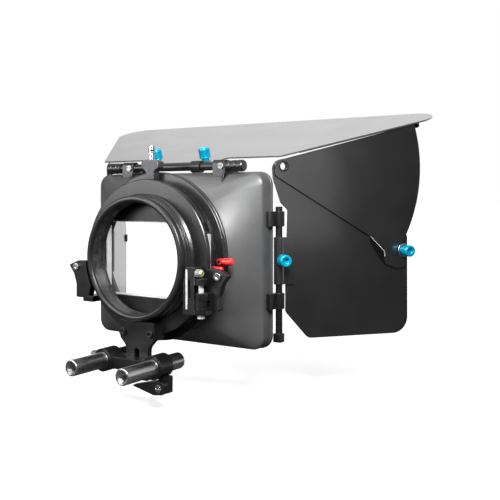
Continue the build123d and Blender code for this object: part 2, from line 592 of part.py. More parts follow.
def rim_clip(z0, z1):
    clip = cyl_z(5.2, z0, z1, SIDE_X, SIDE_Y)
    clip = clip + box(HOOD_W, SIDE_X - 0.5, HOOD_Y1 + 5.5, SIDE_Y, z0, z1)
    clip = clip + box(HOOD_W - 2.5, SIDE_X - 0.4, HOOD_Y2, HOOD_Y2 + 2.2, z0, z1)
    return clip - cyl_z(SIDE_ROD_R, z0 - 1, z1 + 1, SIDE_X, SIDE_Y) - HOOD_FULL


# ---- assemble and write -------------------------------------------------
parts = {
    "rod_right": rod(ROD_X),
    "rod_left": rod(-ROD_X),
    "post_screws": join([post_screw(x) for x in (-POST_SCREW_X, POST_SCREW_X)]),
    "ear_screws": join([ear_screw(x) for x in (-EAR_SCREW_X, EAR_SCREW_X)]),
    "lever_pivot_pins": (cyl_y(1.5, 28.6, RING_Y0, *FRONT_PIVOT)
                         + cyl_y(1.5, 22.7, RING_Y0, *REAR_PIVOT)),
    "brake_lever_front": brake_lever(FRONT_PIVOT, 29.2, 32.8, eye_r=2.7,
                                     handle_x0=80.6, handle_x1=91.0, handle_r=3.3),
    "brake_lever_rear": brake_lever(REAR_PIVOT, 23.4, 26.6, eye_r=2.4,
                                    handle_x0=77.4, handle_x1=84.0, handle_r=2.6),
    "top_hinge_bracket_right": top_hinge_bracket(0),
    "top_hinge_bracket_left": top_hinge_bracket(BRACKET_SHIFT),
    "bracket_screws": join([bracket_screw(BRACKET_SCREW_X + dx) for dx in (0, BRACKET_SHIFT)]),
    "top_hinge_rod": cyl_x(TOPROD_R, -72, 72, TOPROD_Y, TOPROD_Z),
    "rod_end_caps": join([rod_end_cap(sign) for sign in (1, -1)]),
    "top_flag_arms": join([top_flag_arm(x) for x in (-ARM_X, ARM_X)]),
    "top_knob_right": top_knob(ARM_X),
    "top_knob_left": top_knob(-ARM_X),
    "side_rod_right": side_rod(),
    "rim_clips_right": join([rim_clip(29, 43), rim_clip(-47.6, -33)]),
}
for name in ("side_rod", "rim_clips"):
    parts[name + "_left"] = mirror(parts[name + "_right"], about=Plane.YZ)
# pieces named after the function that builds them
for build in (rod_clamp_block, clamp_thumbscrew, clamp_lever, clamp_lever_screw,
              height_clamp_plate, height_screw, post_plate, lens_ring, rear_plate, hinge_block,
              hinge_pin, swing_lock_screw, swing_lock_tip, right_ear_hinge_leaf, left_ear,
              collar_ring, top_latch_bracket, latch_plunger, filter_stage_ring, filter_tray,
              tray_spring_clip, hood, top_flag):
    parts[build.__name__] = build()
for build in (side_flag, flag_wing, wing_eyelet, wing_washer, wing_knob, wing_nut, hinge_knob,
              hinge_centre_block):
    parts[build.__name__ + "_right"] = build(side_plane(OPEN_RIGHT))
    parts[build.__name__ + "_left"] = mirror(build(side_plane(OPEN_LEFT)), about=Plane.YZ)

os.makedirs("parts", exist_ok=True)
for name, shape in parts.items():
    solids = [solid for solid in shape.solids() if solid.volume > 0.01]
    piece = solids[0] if len(solids) == 1 else Compound(children=solids)
    piece.label = name
    export_step(piece, os.path.join("parts", name + ".step"))
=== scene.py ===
"""Looks of a camera matte box: lens ring, flared hood, flags, knobs and two support rods.

The lens ring is centred on the Y axis and starts at y = 0. The hood opens towards +Y, +Z is up,
the rods run along Y below the ring, and "right" pieces lie at +X. Sizes are in millimetres
unless a comment says metres. Shapes of the box ride its bodies; most of them stand for a CAD
node.
"""
import bpy
import bmesh
import json
import math
from mathutils import Vector, Matrix

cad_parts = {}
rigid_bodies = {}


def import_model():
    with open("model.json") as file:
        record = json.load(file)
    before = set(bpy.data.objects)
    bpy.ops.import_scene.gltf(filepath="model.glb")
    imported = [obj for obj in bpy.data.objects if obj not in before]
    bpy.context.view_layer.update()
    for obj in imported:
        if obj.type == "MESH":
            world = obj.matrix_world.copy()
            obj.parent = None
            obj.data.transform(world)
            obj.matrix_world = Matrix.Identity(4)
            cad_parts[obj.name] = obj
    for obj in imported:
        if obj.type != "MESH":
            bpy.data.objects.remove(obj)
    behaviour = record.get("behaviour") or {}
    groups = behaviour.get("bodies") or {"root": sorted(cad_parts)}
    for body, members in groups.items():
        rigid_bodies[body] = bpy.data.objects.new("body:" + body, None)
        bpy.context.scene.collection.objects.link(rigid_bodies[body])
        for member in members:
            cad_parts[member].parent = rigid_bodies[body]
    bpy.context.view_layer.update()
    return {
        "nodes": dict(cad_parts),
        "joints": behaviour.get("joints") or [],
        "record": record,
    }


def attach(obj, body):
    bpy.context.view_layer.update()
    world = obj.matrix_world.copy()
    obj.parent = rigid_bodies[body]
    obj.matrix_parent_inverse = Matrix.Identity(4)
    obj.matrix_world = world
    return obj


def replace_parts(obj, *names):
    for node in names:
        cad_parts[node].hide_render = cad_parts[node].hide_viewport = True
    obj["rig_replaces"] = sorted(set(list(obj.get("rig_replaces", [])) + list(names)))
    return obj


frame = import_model()
RECORD = frame["record"]
SLOT = {part["node"]: part["material_slot"] for part in RECORD["subparts"]}
BODY = {node: body for body, nodes in RECORD["behaviour"]["bodies"].items() for node in nodes}
JOINT = {joint["name"]: joint for joint in frame["joints"]}
MM = 0.001
SIDES = (("right", 1.0), ("left", -1.0))    # name and sign of x

scene = bpy.context.scene
scene.view_settings.view_transform = "Standard"
scene.view_settings.look = "None"


# ------------------------------------------------------------------ shader node helpers
# A Mix node has one pair of A and B sockets for each data type.
FLOAT_A, FLOAT_B = 2, 3
COLOUR_A, COLOUR_B = 6, 7
COLOUR_RESULT = 2
NOISE_SPAN = (0.3, 0.7)     # the range that noise values mostly fill


def feed(tree, node, inputs):
    """Set each input, by name or index, to a value or link it to an output socket."""
    for socket, value in inputs.items():
        if isinstance(value, bpy.types.NodeSocket):
            tree.links.new(value, node.inputs[socket])
        else:
            node.inputs[socket].default_value = value


def add_node(tree, kind, inputs=None, **settings):
    node = tree.nodes.new("ShaderNode" + kind)
    for key, value in settings.items():
        setattr(node, key, value)
    feed(tree, node, inputs or {})
    return node


def map_range(tree, value, source, target=(0.0, 1.0), smooth=False):
    node = add_node(tree, "MapRange", {
        "Value": value,
        "From Min": source[0], "From Max": source[1],
        "To Min": target[0], "To Max": target[1],
    }, interpolation_type="SMOOTHSTEP" if smooth else "LINEAR")
    return node.outputs[0]


def math_node(tree, operation, first, second):
    return add_node(tree, "Math", {0: first, 1: second}, operation=operation).outputs[0]


def noise(tree, vector, scale, detail, **inputs):
    sockets = {"Vector": vector, "Scale": scale, "Detail": detail, **inputs}
    return add_node(tree, "TexNoise", sockets).outputs["Fac"]


def bump(tree, height, strength, distance, **inputs):
    sockets = {"Height": height, "Strength": strength, "Distance": distance, **inputs}
    return add_node(tree, "Bump", sockets).outputs[0]


# ------------------------------------------------------------------ materials
def worn_colour(tree, vector, rounded, colour, wear_colour, wear):
    """Mix the wear colour in along edges, where the rounded normal leaves the true one."""
    geometry = add_node(tree, "NewGeometry")
    facing = add_node(tree, "VectorMath", {0: rounded, 1: geometry.outputs["Normal"]},
                      operation="DOT_PRODUCT").outputs["Value"]
    edges = map_range(tree, facing, (0.985, 0.80), (0.0, wear))
    patches = map_range(tree, noise(tree, vector, scale=160, detail=4), (0.42, 0.62))
    amount = math_node(tree, "MULTIPLY", edges, patches)
    mix = add_node(tree, "Mix", data_type="RGBA")
    feed(tree, mix, {"Factor": amount, COLOUR_A: colour, COLOUR_B: (*wear_colour, 1)})
    return mix.outputs[COLOUR_RESULT]


def material(name, colour, rough, wear_colour, wear, rough_spread=0.10, metal=0.0, specular=0.5,
             grain=1500, grain_depth=0.00006, grain_strength=0.35, tone=0.15, tone_scale=28.0,
             stretch=None, edge=0.0005, coat=0.0, coat_rough=0.3, coat_ior=1.5, wave=0.0):
    """Worn, slightly uneven surface.

    rough_spread, tone: how far roughness (+/-) and brightness (a share) drift.
    grain, tone_scale: noise scales of the fine and broad variation.
    wear, wear_colour: strength and colour of the rubbed edges.
    grain_depth, wave, edge: fine bump, broad bump and edge rounding in metres.
    stretch: scale per axis that turns the grain into brushing.
    """
    result = bpy.data.materials.new(name)
    result.use_nodes = True
    tree = result.node_tree
    vector = add_node(tree, "TexCoord").outputs["Object"]

    drift = noise(tree, vector, tone_scale, detail=5, Roughness=0.55)
    drift = map_range(tree, drift, NOISE_SPAN, (1 - tone, 1 + tone))
    grain_vector = vector
    if stretch:
        mapping = add_node(tree, "Mapping", {"Vector": vector, "Scale": stretch})
        grain_vector = mapping.outputs["Vector"]
    grain_noise = noise(tree, grain_vector, grain, detail=3)
    speckle = map_range(tree, grain_noise, NOISE_SPAN, (0.9, 1.1))
    brightness = math_node(tree, "MULTIPLY", drift, speckle)
    base = add_node(tree, "VectorMath", operation="SCALE")
    feed(tree, base, {0: colour, "Scale": brightness})

    rounded = add_node(tree, "Bevel", {"Radius": edge}, samples=4).outputs[0]
    surface_colour = worn_colour(tree, vector, rounded, base.outputs[0], wear_colour, wear)
    rough_noise = noise(tree, grain_vector, tone_scale * 2.7, detail=6)
    roughness = map_range(tree, rough_noise, NOISE_SPAN,
                          (rough - rough_spread, rough + rough_spread))
    normal = bump(tree, grain_noise, grain_strength, grain_depth, Normal=rounded)
    if wave > 0:
        swell = noise(tree, vector, scale=9.0, detail=1.5)
        normal = bump(tree, swell, strength=1.0, distance=wave, Normal=normal)

    feed(tree, tree.nodes["Principled BSDF"], {
        "Base Color": surface_colour, "Roughness": roughness, "Normal": normal,
        "Metallic": metal, "IOR": 1.5, "Specular IOR Level": specular,
        "Coat Weight": coat, "Coat Roughness": coat_rough, "Coat IOR": coat_ior,
    })
    return result


GREY_WEAR = (0.20, 0.20, 0.205)
FINISHES = {
    "satin_black_metal": dict(
        colour=(0.005, 0.005, 0.0053), rough=0.33, rough_spread=0.05, grain=2400, tone=0.14,
        wear_colour=GREY_WEAR, wear=0.45),
    "ring_black": dict(
        colour=(0.009, 0.009, 0.0094), rough=0.29, rough_spread=0.022, grain=2200, tone=0.08,
        wear_colour=GREY_WEAR, wear=0.5),
    "hood_plastic": dict(
        colour=(0.062, 0.0624, 0.0632), rough=0.40, rough_spread=0.06, grain_depth=0.00012,
        grain_strength=0.5, wear_colour=(0.08, 0.08, 0.085), wear=0.4, edge=0.0008),
    "flag_black": dict(
        colour=(0.007, 0.007, 0.0073), rough=0.47, rough_spread=0.07, specular=0.4, grain=1700,
        grain_depth=0.00002, grain_strength=0.3, tone=0.18, tone_scale=14,
        wear_colour=GREY_WEAR, wear=0.55, coat=1.0, coat_rough=0.13, coat_ior=1.75, wave=0.0011),
    # Same black sheet as the side flags: the lighter base colour paints part of the grazing sheen
    # on the top flag.
    "top_flag_sheet": dict(
        colour=(0.05, 0.05, 0.052), rough=0.34, rough_spread=0.04, specular=0.9, grain=1900,
        grain_depth=0.00003, tone=0.10, tone_scale=10, wear_colour=GREY_WEAR, wear=0.3,
        coat=1.0, coat_rough=0.28, coat_ior=2.0, wave=0.0006),
    "blue_anodised": dict(
        colour=(0.0, 0.36, 0.56), rough=0.28, rough_spread=0.08, metal=0.55, grain=2600,
        tone=0.14, wear_colour=(0.45, 0.75, 0.85), wear=0.55, edge=0.0003),
    "red_anodised": dict(
        colour=(0.72, 0.02, 0.02), rough=0.28, rough_spread=0.08, metal=0.3, grain=2600,
        wear_colour=(0.9, 0.35, 0.3), wear=0.5, edge=0.0003, coat=0.5),
    "silver_steel": dict(
        colour=(0.58, 0.58, 0.59), rough=0.24, metal=1.0, grain_depth=0.00003, tone=0.10,
        wear_colour=(0.9, 0.9, 0.9), wear=0.3, edge=0.0003),
    "rod_metal": dict(
        colour=(0.46, 0.46, 0.465), rough=0.30, metal=1.0, grain=500, grain_depth=0.00004,
        tone=0.14, stretch=(6.0, 0.35, 6.0), wear_colour=(0.7, 0.7, 0.7), wear=0.5),
    "grey_block": dict(
        colour=(0.035, 0.035, 0.037), rough=0.36, metal=0.35, grain=1600, grain_depth=0.0001,
        tone=0.18, wear_colour=(0.4, 0.4, 0.41), wear=0.6),
    "brass_tip": dict(
        colour=(0.86, 0.80, 0.42), rough=0.25, metal=0.8, tone=0.08,
        wear_colour=(1, 0.95, 0.7), wear=0.3, edge=0.0003),
    # Very dark, dull black: painted shade on the wing strips, the wing lips and the strips under
    # the top flag; the own colour of the top flag's stop blocks.
    "shade_black": dict(
        colour=(0.0016, 0.0016, 0.0017), rough=0.62, specular=0.15, tone=0.3,
        wear_colour=(0.02, 0.02, 0.02), wear=0.3),
    # Darker, duller black than the hinge block's slot finish: painted shade on the block.
    "hinge_black": dict(
        colour=(0.0028, 0.0028, 0.003), rough=0.48, specular=0.35, grain=2200, tone=0.2,
        wear_colour=(0.30, 0.30, 0.31), wear=0.7, edge=0.0004),
    "screw_dull": dict(
        colour=(0.30, 0.30, 0.305), rough=0.44, rough_spread=0.08, metal=0.85,
        wear_colour=(0.8, 0.8, 0.8), wear=0.6, edge=0.0003),
    # Pale metal of the hinge pin, and the colour of the painted highlights on the hinge block's
    # edge and the wings' tips.
    "pale_metal_and_painted_highlight": dict(
        colour=(0.62, 0.62, 0.63), rough=0.34, rough_spread=0.12, metal=0.4, grain=900,
        tone=0.25, tone_scale=120, wear_colour=(0.9, 0.9, 0.9), wear=0.3, edge=0.0002),
    "tray_metal": dict(
        colour=(0.52, 0.52, 0.53), rough=0.36, metal=0.25, grain=700, grain_depth=0.00004,
        tone=0.18, stretch=(1.0, 1.0, 6.0), wear_colour=(0.6, 0.6, 0.6), wear=0.4),
}
MATERIALS = {name: material(name, **finish) for name, finish in FINISHES.items()}


# ------------------------------------------------------------------ mesh helpers
def finish_mesh(bm, name, slot, body, angle, node=None, weighted=True, finish=None):
    bmesh.ops.recalc_face_normals(bm, faces=bm.faces)
    limit = math.radians(angle)
    for face in bm.faces:
        face.smooth = True
    for edge in bm.edges:
        edge.smooth = not (len(edge.link_faces) == 2 and edge.calc_face_angle(0) > limit)
    mesh = bpy.data.meshes.new(name)
    bm.to_mesh(mesh)
    bm.free()
    mesh.materials.append(MATERIALS[finish or slot])
    obj = bpy.data.objects.new(name, mesh)
    scene.collection.objects.link(obj)
    if weighted:
        modifier = obj.modifiers.new("weighted", "WEIGHTED_NORMAL")
        modifier.keep_sharp = True
        modifier.weight = 80
    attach(obj, body)
    if node:
        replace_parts(obj, node)


def soften(node, width, finish=None):
    """Cleaned copy of a CAD node with its edges rounded by width, standing for it."""
    bm = bmesh.new()
    bm.from_mesh(frame["nodes"][node].data)
    bmesh.ops.remove_doubles(bm, verts=bm.verts, dist=2e-6)
    bmesh.ops.dissolve_limit(bm, angle_limit=math.radians(0.35), verts=bm.verts,
                             edges=bm.edges, delimit={"NORMAL"})
    limit = math.radians(25.0)
    edges = [edge for edge in bm.edges
             if len(edge.link_faces) == 2 and edge.calc_face_angle(0) > limit]
    if edges:
        bmesh.ops.bevel(bm, geom=edges, offset=width * MM, offset_type="OFFSET", segments=2,
                        profile=0.5, affect="EDGES", clamp_overlap=True)
    bmesh.ops.remove_doubles(bm, verts=bm.verts, dist=1e-6)
    bmesh.ops.dissolve_degenerate(bm, dist=1e-7, edges=bm.edges)
    finish_mesh(bm, node + "_shape", SLOT[node], BODY[node], angle=40.0, node=node, finish=finish)


def axes_matrix(x_axis, y_axis, z_axis, origin):
    """Matrix with these axes as columns; origin in metres."""
    matrix = Matrix((x_axis, y_axis, z_axis)).transposed().to_4x4()
    matrix.translation = Vector(origin)
    return matrix


def axis_frame(origin, axis):
    """Frame whose z runs along axis; origin in metres."""
    z_axis = Vector(axis).normalized()
    x_axis = Vector((1, 0, 0)) if abs(z_axis.x) < 0.9 else Vector((0, 1, 0))
    x_axis = (x_axis - z_axis * x_axis.dot(z_axis)).normalized()
    return axes_matrix(x_axis, z_axis.cross(x_axis), z_axis, origin)


def skin(bm, rows, closed=False):
    """Join consecutive vertex loops with faces; a loop of one vertex is a pole."""
    followers = rows[1:] + (rows[:1] if closed else [])
    for lower, upper in zip(rows, followers):
        count = max(len(lower), len(upper))
        for i in range(count):
            j = (i + 1) % count
            if len(lower) == 1:
                bm.faces.new((lower[0], upper[i], upper[j]))
            elif len(upper) == 1:
                bm.faces.new((lower[i], lower[j], upper[0]))
            else:
                bm.faces.new((lower[i], lower[j], upper[j], upper[i]))


def lathe(profile, matrix, segments, radial=None):
    """Revolve (radius, height) points about the matrix's z axis.

    radial(radius, height, angle) may change a radius. A profile runs from pole to pole,
    or its last point joins its first.
    """
    bm = bmesh.new()
    rows = []
    for radius, height in profile:
        if radius < 1e-6:
            rows.append([bm.verts.new(matrix @ Vector((0, 0, height * MM)))])
            continue
        row = []
        for i in range(segments):
            angle = 2 * math.pi * i / segments
            r = radial(radius, height, angle) if radial else radius
            point = (r * math.cos(angle) * MM, r * math.sin(angle) * MM, height * MM)
            row.append(bm.verts.new(matrix @ Vector(point)))
        rows.append(row)
    skin(bm, rows, closed=len(rows[0]) > 1)
    return bm


def arc_points(x, y, radius, start, end, steps):
    """Points on an arc about (x, y), from start to end degrees, both included."""
    angles = [math.radians(start + (end - start) * i / steps) for i in range(steps + 1)]
    return [(x + radius * math.cos(a), y + radius * math.sin(a)) for a in angles]


# ------------------------------------------------------------------ lens ring
RING_BORE = 51.8
RING_BARREL = 57.5
RING_GROOVE_STARTS = (5.4, 9.4)
# radius, height above the groove's start
RING_GROOVE = [
    (RING_BARREL, 0), (57.3, 0.3), (56.5, 0.7), (56.4, 0.9),
    (56.4, 1.9), (56.5, 2.1), (57.3, 2.5), (RING_BARREL, 2.8),
]
# radius, height of the flange at the +Y end
RING_FLANGE = [
    (RING_BARREL, 13.0), (57.7, 13.5), (59.1, 14.9), (59.6, 15.4), (59.6, 17.4), (59.3, 17.9),
    (58.9, 18.0), (52.3, 18.0), (51.75, 17.4),
]
RING_THREAD_TURNS, RING_THREAD_START, RING_THREAD_PITCH = 17, 16.6, 0.75


def build_lens_ring():
    profile = arc_points(RING_BORE + 2.4, 2.4, 2.4, 180, 270, 8)
    profile += arc_points(RING_BARREL - 2.1, 2.1, 2.1, -90, 0, 8)
    for start in RING_GROOVE_STARTS:
        profile += [(radius, start + height) for radius, height in RING_GROOVE]
    profile += RING_FLANGE
    for turn in range(RING_THREAD_TURNS):       # fine thread inside the bore
        height = RING_THREAD_START - RING_THREAD_PITCH * turn
        profile += [(RING_BORE, height), (RING_BORE + 0.55, height - 0.35),
                    (RING_BORE, height - 0.7)]
    bm = lathe(profile, axis_frame((0, 0, 0), (0, 1, 0)), segments=192)
    finish_mesh(bm, "lens_ring_turned", "ring_black", "mount", angle=28, node="lens_ring")


# ------------------------------------------------------------------ thumb knobs
KNOB_RADIUS = 5.6
KNURL_STEPS = 18
KNURL_PITCH = 1.15
KNURL_DEPTH = 0.306
KNURL_FADE = 0.4        # height over which the knurl fades in and out
# kind: lengths of the shank, neck and knurled body
KNOBS = {"wing": (7.2, 3.0, 9.0), "hinge": (1.9, 3.8, 9.6), "top": (4.6, 2.0, 10.0)}


def build_knob(kind, side):
    """Diamond-knurled thumb knob with a round recess in its end, on its joint's axis."""
    node = "%s_knob_%s" % (kind, side)
    joint = JOINT[node + "_turn"]
    axis = Vector(joint["axis"]).normalized()
    origin = Vector(joint["pos_m"])
    base = min((vertex.co - origin).dot(axis) / MM
               for vertex in frame["nodes"][node].data.vertices)
    shank, neck, body = KNOBS[kind]
    neck_start = base + shank
    body_start = neck_start + neck
    body_end = body_start + body
    knurl_start, knurl_end = body_start + 0.9, body_end - 1.5
    r = KNOB_RADIUS
    profile = [
        (0, base), (2.2, base), (2.48, base + 0.3), (2.48, neck_start),
        (3.2, neck_start + 0.05), (3.35, neck_start + 0.25),
        (3.35, neck_start + neck * 0.45), (3.6, neck_start + neck * 0.6),
        (r - 0.9, body_start - 0.25), (r - 0.45, body_start), (r - 0.12, body_start + 0.4),
    ]
    profile += [(r, knurl_start + (knurl_end - knurl_start) * i / KNURL_STEPS)
                for i in range(KNURL_STEPS + 1)]
    profile += [
        (r - 0.35, body_end - 1.1), (r - 0.35, body_end - 0.8), (r - 0.15, body_end - 0.7),
        (r - 0.3, body_end - 0.35), (r - 0.8, body_end - 0.05), (r - 1.2, body_end),
        (2.9, body_end), (2.7, body_end - 0.2), (2.7, body_end - 2.6), (0, body_end - 2.9),
    ]

    def knurl(radius, height, angle):
        if radius != r:
            return radius       # only the knurled rows have the full radius
        around, up = angle * r, height - knurl_start
        rising = abs(((around + up) / KNURL_PITCH) % 1.0 - 0.5) * 2
        falling = abs(((around - up) / KNURL_PITCH) % 1.0 - 0.5) * 2
        fade = min(1.0, up / KNURL_FADE, (knurl_end - height) / KNURL_FADE)
        return radius - KNURL_DEPTH * (1 - min(rising, falling)) * fade

    bm = lathe(profile, axis_frame(origin, axis), segments=144, radial=knurl)
    finish_mesh(bm, node.replace("_knob_", "_knob_") + "_turned", SLOT[node], BODY[node],
                angle=50, node=node, weighted=False)


# ------------------------------------------------------------------ hood
HOOD_HALF_WIDTH = 101.6
HOOD_TOP, HOOD_BOTTOM = 79.3, -84.6     # z
HOOD_CORNER = 12.0
HOOD_WALL = 3.0
HOOD_START = 40.0                       # y of the round end
HOOD_RIM_START, HOOD_END = 64.4, 81.0   # y of the parallel rim
SIDE_STEPS, CORNER_STEPS = 14, 7
# degrees that bound the sides and corners in turn, from the top side through +X
HOOD_ANGLES = (130, 50, 40, -40, -50, -130, -140, -220, -230)


def hood_circle(radius, y):
    points = []
    for k, (start, end) in enumerate(zip(HOOD_ANGLES, HOOD_ANGLES[1:])):
        steps = CORNER_STEPS if k % 2 else SIDE_STEPS
        points += arc_points(0, 0, radius, start, end, steps)[:-1]
    return [Vector((x, y, z)) for x, z in points]


def hood_rectangle(offset, y):
    """Rounded rectangle, grown by offset, with points that pair with hood_circle's."""
    corner = HOOD_CORNER + offset
    right, top, bottom = HOOD_HALF_WIDTH + offset, HOOD_TOP + offset, HOOD_BOTTOM - offset
    inner_x, inner_top, inner_bottom = right - corner, top - corner, bottom + corner
    # start and end of a side, then centre and first angle of the corner after it
    parts = (
        ((-inner_x, top), (inner_x, top), (inner_x, inner_top), 90),
        ((right, inner_top), (right, inner_bottom), (inner_x, inner_bottom), 0),
        ((inner_x, bottom), (-inner_x, bottom), (-inner_x, inner_bottom), -90),
        ((-right, inner_bottom), (-right, inner_top), (-inner_x, inner_top), 180),
    )
    points = []
    for start, end, centre, angle in parts:
        for i in range(SIDE_STEPS):
            share = i / SIDE_STEPS
            points.append((start[0] + (end[0] - start[0]) * share,
                           start[1] + (end[1] - start[1]) * share))
        points += arc_points(*centre, corner, angle, angle - 90, CORNER_STEPS)[:-1]
    return [Vector((x, y, z)) for x, z in points]


def build_hood():
    """Funnel from a round opening to a rectangular rim: out over it, then back inside."""
    def blend(start, end, share):
        return [p.lerp(q, share) for p, q in zip(start, end)]

    rim, end, wall = HOOD_RIM_START, HOOD_END, HOOD_WALL
    loops = [hood_circle(radius, HOOD_START) for radius in (66.4, 72.0, 78.5)]
    outer_circle, outer_rim = hood_circle(79.0, HOOD_START), hood_rectangle(0.0, rim)
    for share in (0.02, 0.06, 0.15, 0.27, 0.4, 0.53, 0.66, 0.78, 0.88, 0.94):
        loops.append(blend(outer_circle, outer_rim, share))
    # soft turn from the flare into the parallel rim
    turn_start, turn_end = loops[-1], hood_rectangle(0.0, rim + 1.6)
    for t in (0.25, 0.5, 0.75, 1.0):
        loops.append([p * (1 - t) ** 2 + q * 2 * t * (1 - t) + r * t * t
                      for p, q, r in zip(turn_start, outer_rim, turn_end)])
    # outward offset and y: parallel rim, raised lip, end face, inside of the rim
    rim_stations = (
        (0, rim + 6), (0, end - 3.8), (0.15, end - 3.5), (0.7, end - 3.2), (0.8, end - 3.0),
        (0.8, end - 0.7), (0.65, end - 0.3), (0.3, end - 0.02), (-2.3, end), (-2.8, end - 0.2),
        (-wall, end - 0.6), (-wall, rim + 7), (-wall, rim + 1.6),
    )
    loops += [hood_rectangle(offset, y) for offset, y in rim_stations]
    floor_y = HOOD_START + wall
    inner_circle, inner_rim = hood_circle(75.5, floor_y), hood_rectangle(-wall, rim + 0.5)
    for share in (0.96, 0.85, 0.7, 0.55, 0.4, 0.25, 0.12, 0.03):
        loops.append(blend(inner_circle, inner_rim, share))
    loops += [hood_circle(radius, floor_y) for radius in (75.0, 70.0, 66.4)]
    loops += [hood_circle(66.0, y) for y in (floor_y - 0.3, HOOD_START + 0.3)]
    bm = bmesh.new()
    skin(bm, [[bm.verts.new(point * MM) for point in loop] for loop in loops], closed=True)
    finish_mesh(bm, "hood_moulding", "hood_plastic", "swing_frame", angle=38, node="hood")


# ------------------------------------------------------------------ rods
ROD_X, ROD_Z = 30.0, -95.0
ROD_THREAD_TURNS, ROD_THREAD_START, ROD_THREAD_PITCH = 12, -34.6, 0.9
# radius, y: from the lip round the socket, over a shallow groove, to the +Y end
ROD_OUTSIDE = [
    (5.3, -45.6), (5.9, -46.0), (6.7, -46.0), (7.1, -45.85), (7.4, -45.5), (7.5, -45.1),
    (7.5, -8.7), (7.42, -8.6), (7.3, -8.5), (7.3, -7.7), (7.42, -7.6), (7.5, -7.5),
    (7.5, 30.1), (7.35, 30.6), (7.0, 30.9), (6.6, 31.0), (0, 31.0),
]


def build_rod(side, sign):
    """Round rod along Y with a threaded socket in its -Y end."""
    profile = [(0, -34.0), (4.6, -34.0)]
    for turn in range(ROD_THREAD_TURNS):
        y = ROD_THREAD_START - ROD_THREAD_PITCH * turn
        profile += [(5.1, y), (4.7, y - 0.45)]
    profile += ROD_OUTSIDE
    bm = lathe(profile, axis_frame((sign * ROD_X * MM, 0, ROD_Z * MM), (0, 1, 0)), segments=96)
    finish_mesh(bm, "rod_%s_turned" % side, "rod_metal", "base", angle=30, node="rod_" + side)


# ------------------------------------------------------------------ painted highlight on the edge of the hinge block
# x, y of the strip's section
STRIP_SECTION = [(59.6, 3.02), (59.9, 2.82), (61.6, 2.82), (61.9, 3.02), (61.9, 3.2), (59.6, 3.2)]
STRIP_MIDDLE_X = 60.7
STRIP_BOTTOM, STRIP_HEIGHT, STRIP_STEPS = -41.5, 34.5, 8
STRIP_END_PINCH, STRIP_END_SINK = 0.18, 0.1


def build_hinge_block_edge():
    """Thin upright bright strip, a painted highlight along the hinge block's edge, slightly drawn
    in at both ends.
    """
    bm = bmesh.new()
    rows = []
    for k in range(STRIP_STEPS + 1):
        z = STRIP_BOTTOM + STRIP_HEIGHT * k / STRIP_STEPS
        at_end = k in (0, STRIP_STEPS)
        pinch = STRIP_END_PINCH if at_end else 0.0
        row = []
        for x, y in STRIP_SECTION:
            x += pinch if x < STRIP_MIDDLE_X else -pinch
            y += STRIP_END_SINK if at_end and y < 3 else 0
            row.append(bm.verts.new(Vector((x, y, z)) * MM))
        rows.append(row)
    skin(bm, rows)
    bm.faces.new(rows[0])
    bm.faces.new(rows[-1][::-1])
    finish_mesh(bm, "hinge_block_painted_highlight", "silver_steel", "mount", angle=60,
                finish="pale_metal_and_painted_highlight")


# ------------------------------------------------------------------ flat plates
def inset_outline(outline, distance):
    """Move a closed outline inwards by distance, with mitred corners."""
    count = len(outline)
    following = outline[1:] + outline[:1]
    double_area = sum(p[0] * q[1] - q[0] * p[1] for p, q in zip(outline, following))
    winding = 1.0 if double_area > 0 else -1.0
    result = []
    for i in range(count):
        before, here, after = (Vector(outline[k]) for k in (i - 1, i, (i + 1) % count))
        u, v = (here - before).normalized(), (after - here).normalized()
        normal_in, normal_out = Vector((-u.y, u.x)) * winding, Vector((-v.y, v.x)) * winding
        mitre = normal_in + normal_out
        mitre = mitre / max(0.35, mitre.dot(normal_in))     # keeps sharp mitres short
        result.append(here + mitre * distance)
    return result


def build_plate(name, outline, matrix, bottom, top, body, chamfer,
                slot="satin_black_metal", finish="shade_black"):
    """Chamfered plate: outline in the matrix's x-y plane, from bottom to top along its z."""
    bm = bmesh.new()
    rows = []
    for height, inset in ((bottom, chamfer), (bottom + chamfer, 0.0),
                          (top - chamfer, 0.0), (top, chamfer)):
        rows.append([bm.verts.new(matrix @ Vector((p.x * MM, p.y * MM, height * MM)))
                     for p in inset_outline(outline, inset)])
    skin(bm, rows)
    bm.faces.new(rows[0][::-1])
    bm.faces.new(rows[-1])
    finish_mesh(bm, name, slot, body, angle=20, finish=finish)


def band(line, near, far):
    """Closed outline of a band beside an open line, between two offsets to its right."""
    def shift(distance):
        points = []
        for i, (x, y) in enumerate(line):
            along = Vector((0, 0))
            if i:
                along += (Vector(line[i]) - Vector(line[i - 1])).normalized()
            if i < len(line) - 1:
                along += (Vector(line[i + 1]) - Vector(line[i])).normalized()
            along.normalize()
            points.append((x + along.y * distance, y - along.x * distance))
        return points
    return shift(near) + shift(far)[::-1]


# Wing outlines: distance outwards along the wing from its root, z.
WING_ROOT_X, WING_ROOT_Y = 106.6, 84.3
WING_ANGLES = {"right": 38.0, "left": 35.4}     # degrees outwards from +Y
WING_EDGE = [(2.0, 76.6), (20.0, 65.4), (45.0, 49.6), (70.0, 33.6), (92.6, 19.0)]
WING_LIP = [
    (92.9, 18.9), (94.3, 13.6), (97.2, 8.6), (101.9, 1.6), (106.1, -4.3), (110.9, -9.2),
    (111.6, -8.0), (109.5, 3.0), (94.4, 18.4),
]
# Line of the painted highlight along the fold near the wing's tip.
WING_HIGHLIGHT_LINE = [
    (94.2, 17.9), (99.0, 13.2), (104.0, 8.4), (108.7, 3.9), (109.3, 2.4), (110.0, -2.2),
]


